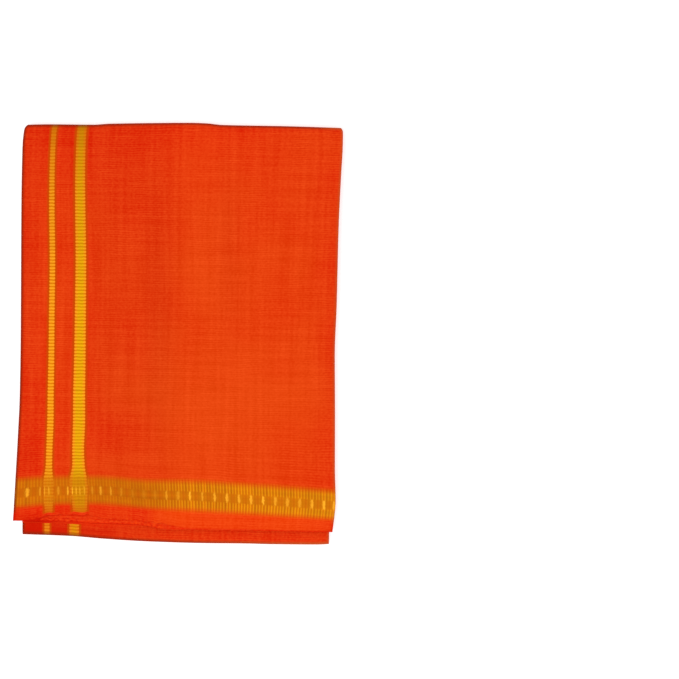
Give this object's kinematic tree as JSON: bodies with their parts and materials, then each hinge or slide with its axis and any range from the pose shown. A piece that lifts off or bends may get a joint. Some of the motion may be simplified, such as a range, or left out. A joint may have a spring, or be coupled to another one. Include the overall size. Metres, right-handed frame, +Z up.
{
  "type": "folded dhoti cloth",
  "caption": "Orange cotton dhoti with a gold border and woven stripes, folded flat into a soft rectangular pack with layered edges.",
  "frame": {"origin": "on the resting face, under the middle of the pack's box", "axes": "+Y from the selvedges at the front to the fold at the back, +X to the side of the first pleat, +Z up"},
  "size_m": [0.2608, 0.334, 0.0132],
  "materials": {
    "orange_cotton": "matte plain weave with a ribbed gold thread border"
  },
  "bodies": {
    "root": {"top_stretch": "orange_cotton", "second_stretch": "orange_cotton", "middle_fold": "orange_cotton", "under_stretch": "orange_cotton", "hidden_layers": "orange_cotton"}
  },
  "joints": []
}
